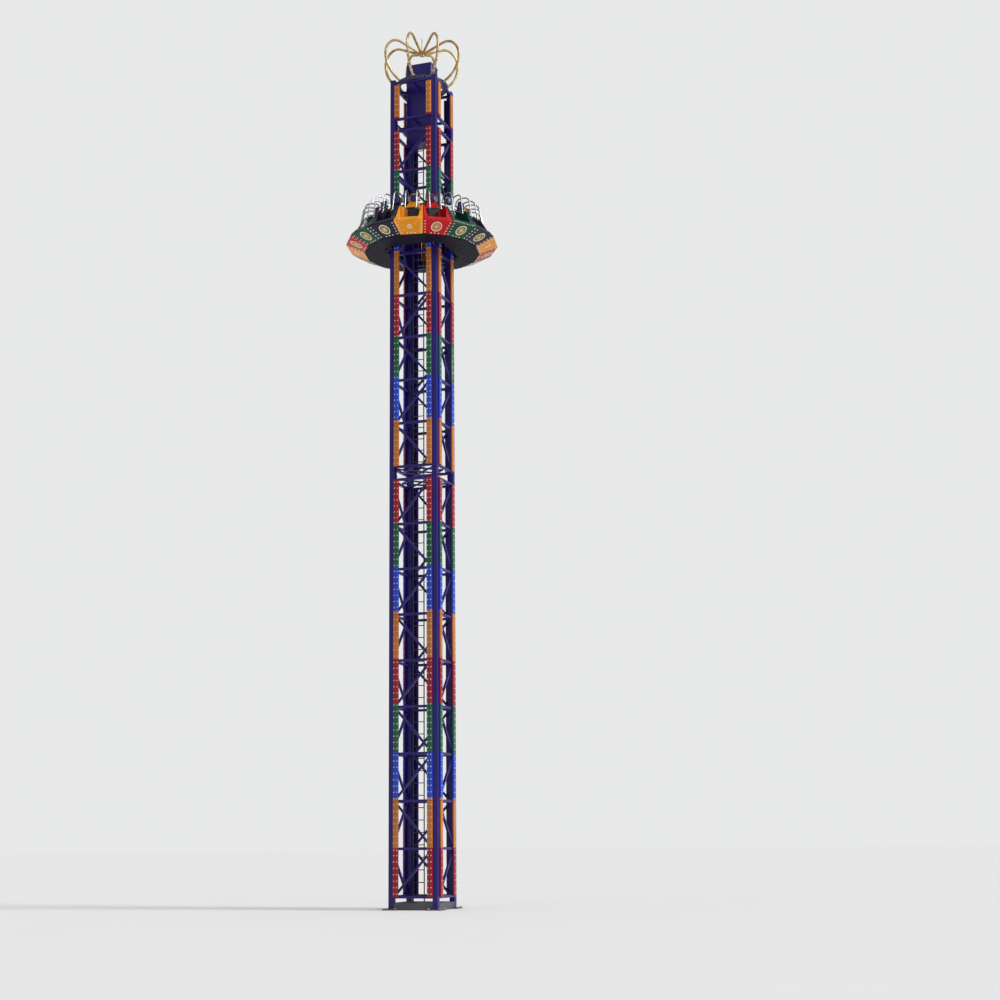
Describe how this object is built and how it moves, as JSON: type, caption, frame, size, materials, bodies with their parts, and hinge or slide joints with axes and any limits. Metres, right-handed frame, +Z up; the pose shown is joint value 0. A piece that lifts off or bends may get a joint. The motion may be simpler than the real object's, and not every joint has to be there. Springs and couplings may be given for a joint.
{
  "type": "drop tower ride",
  "caption": "Drop tower ride: square lattice tower with lamp boards and a gold crown, and a ring of outward-facing seats with over-shoulder restraints that slides on it.",
  "frame": {"origin": "centre of the base frame's flat underside, on the ground", "axes": "+Z up along the tower; -Y is the front face of the tower, +X its right face"},
  "size_m": [3.6988, 3.6988, 21.277],
  "materials": {
    "tower_paint": "gloss",
    "base_paint": "matte",
    "board_paint": "satin",
    "ladder_steel": "satin",
    "ring_paint": "satin",
    "crown_gold": "gloss",
    "floor_paint": "matte",
    "frame_steel": "satin",
    "roller_rubber": "matte",
    "apron_yellow_paint": "gloss",
    "apron_red_paint": "gloss",
    "apron_green_paint": "gloss",
    "apron_indigo_paint": "gloss",
    "shell_yellow_plastic": "gloss",
    "shell_red_plastic": "gloss",
    "shell_green_plastic": "gloss",
    "shell_indigo_plastic": "gloss",
    "cushion_vinyl": "satin",
    "headrest_vinyl": "satin",
    "restraint_tube": "gloss"
  },
  "bodies": {
    "tower": {"base_frame": "base_paint", "columns_lower": "tower_paint", "columns_middle": "tower_paint", "columns_top": "tower_paint", "splice_plates": "tower_paint", "bracing_lower_front": "tower_paint", "bracing_lower_right": "tower_paint", "bracing_lower_back": "tower_paint", "bracing_lower_left": "tower_paint", "bracing_middle_front": "tower_paint", "bracing_middle_right": "tower_paint", "bracing_middle_back": "tower_paint", "bracing_middle_left": "tower_paint", "bracing_top": "tower_paint", "lamp_boards_front": "board_paint", "lamp_boards_right": "board_paint", "lamp_boards_back": "board_paint", "lamp_boards_left": "board_paint", "ladder": "ladder_steel", "sheave_housing": "tower_paint", "head_ring": "ring_paint", "crown_arcs": "crown_gold", "crown_hub": "crown_gold"},
    "gondola": {"gondola_floor": "floor_paint", "gondola_ribs": "frame_steel", "carriage": "frame_steel", "guide_rollers": "roller_rubber", "hinge_ring": "frame_steel", "top_deck": "frame_steel", "apron_yellow": "apron_yellow_paint", "apron_red": "apron_red_paint", "apron_green": "apron_green_paint", "apron_indigo": "apron_indigo_paint", "seats_yellow": "shell_yellow_plastic", "seats_red": "shell_red_plastic", "seats_green": "shell_green_plastic", "seats_indigo": "shell_indigo_plastic", "seat_cushions": "cushion_vinyl", "back_cushions": "cushion_vinyl", "headrest_pads": "headrest_vinyl"},
    "restraint_01": {"restraint_01": "restraint_tube"},
    "restraint_02": {"restraint_02": "restraint_tube"},
    "restraint_03": {"restraint_03": "restraint_tube"},
    "restraint_04": {"restraint_04": "restraint_tube"},
    "restraint_05": {"restraint_05": "restraint_tube"},
    "restraint_06": {"restraint_06": "restraint_tube"},
    "restraint_07": {"restraint_07": "restraint_tube"},
    "restraint_08": {"restraint_08": "restraint_tube"},
    "restraint_09": {"restraint_09": "restraint_tube"},
    "restraint_10": {"restraint_10": "restraint_tube"},
    "restraint_11": {"restraint_11": "restraint_tube"},
    "restraint_12": {"restraint_12": "restraint_tube"},
    "restraint_13": {"restraint_13": "restraint_tube"},
    "restraint_14": {"restraint_14": "restraint_tube"},
    "restraint_15": {"restraint_15": "restraint_tube"},
    "restraint_16": {"restraint_16": "restraint_tube"}
  },
  "joints": [
    {"name": "gondola_lift", "type": "slide", "parent": "tower", "child": "gondola", "axis": [0, 0, 1], "range_m": [-15.08, 2.77]},
    {"name": "restraint_01_hinge", "type": "hinge", "parent": "gondola", "child": "restraint_01", "pos_m": [0.20647, -1.038, 16.6], "axis": [-0.9808, -0.1951, 0], "range_deg": [0, 95]},
    {"name": "restraint_02_hinge", "type": "hinge", "parent": "gondola", "child": "restraint_02", "pos_m": [0.58798, -0.87997, 16.6], "axis": [-0.8315, -0.5556, 0], "range_deg": [0, 95]},
    {"name": "restraint_03_hinge", "type": "hinge", "parent": "gondola", "child": "restraint_03", "pos_m": [0.87997, -0.58798, 16.6], "axis": [-0.5556, -0.8315, 0], "range_deg": [0, 95]},
    {"name": "restraint_04_hinge", "type": "hinge", "parent": "gondola", "child": "restraint_04", "pos_m": [1.038, -0.20647, 16.6], "axis": [-0.1951, -0.9808, 0], "range_deg": [0, 95]},
    {"name": "restraint_05_hinge", "type": "hinge", "parent": "gondola", "child": "restraint_05", "pos_m": [1.038, 0.20647, 16.6], "axis": [0.1951, -0.9808, 0], "range_deg": [0, 95]},
    {"name": "restraint_06_hinge", "type": "hinge", "parent": "gondola", "child": "restraint_06", "pos_m": [0.87997, 0.58798, 16.6], "axis": [0.5556, -0.8315, 0], "range_deg": [0, 95]},
    {"name": "restraint_07_hinge", "type": "hinge", "parent": "gondola", "child": "restraint_07", "pos_m": [0.58798, 0.87997, 16.6], "axis": [0.8315, -0.5556, 0], "range_deg": [0, 95]},
    {"name": "restraint_08_hinge", "type": "hinge", "parent": "gondola", "child": "restraint_08", "pos_m": [0.20647, 1.038, 16.6], "axis": [0.9808, -0.1951, 0], "range_deg": [0, 95]},
    {"name": "restraint_09_hinge", "type": "hinge", "parent": "gondola", "child": "restraint_09", "pos_m": [-0.20647, 1.038, 16.6], "axis": [0.9808, 0.1951, 0], "range_deg": [0, 95]},
    {"name": "restraint_10_hinge", "type": "hinge", "parent": "gondola", "child": "restraint_10", "pos_m": [-0.58798, 0.87997, 16.6], "axis": [0.8315, 0.5556, 0], "range_deg": [0, 95]},
    {"name": "restraint_11_hinge", "type": "hinge", "parent": "gondola", "child": "restraint_11", "pos_m": [-0.87997, 0.58798, 16.6], "axis": [0.5556, 0.8315, 0], "range_deg": [0, 95]},
    {"name": "restraint_12_hinge", "type": "hinge", "parent": "gondola", "child": "restraint_12", "pos_m": [-1.038, 0.20647, 16.6], "axis": [0.1951, 0.9808, 0], "range_deg": [0, 95]},
    {"name": "restraint_13_hinge", "type": "hinge", "parent": "gondola", "child": "restraint_13", "pos_m": [-1.038, -0.20647, 16.6], "axis": [-0.1951, 0.9808, 0], "range_deg": [0, 95]},
    {"name": "restraint_14_hinge", "type": "hinge", "parent": "gondola", "child": "restraint_14", "pos_m": [-0.87997, -0.58798, 16.6], "axis": [-0.5556, 0.8315, 0], "range_deg": [0, 95]},
    {"name": "restraint_15_hinge", "type": "hinge", "parent": "gondola", "child": "restraint_15", "pos_m": [-0.58798, -0.87997, 16.6], "axis": [-0.8315, 0.5556, 0], "range_deg": [0, 95]},
    {"name": "restraint_16_hinge", "type": "hinge", "parent": "gondola", "child": "restraint_16", "pos_m": [-0.20647, -1.038, 16.6], "axis": [-0.9808, 0.1951, 0], "range_deg": [0, 95]}
  ]
}
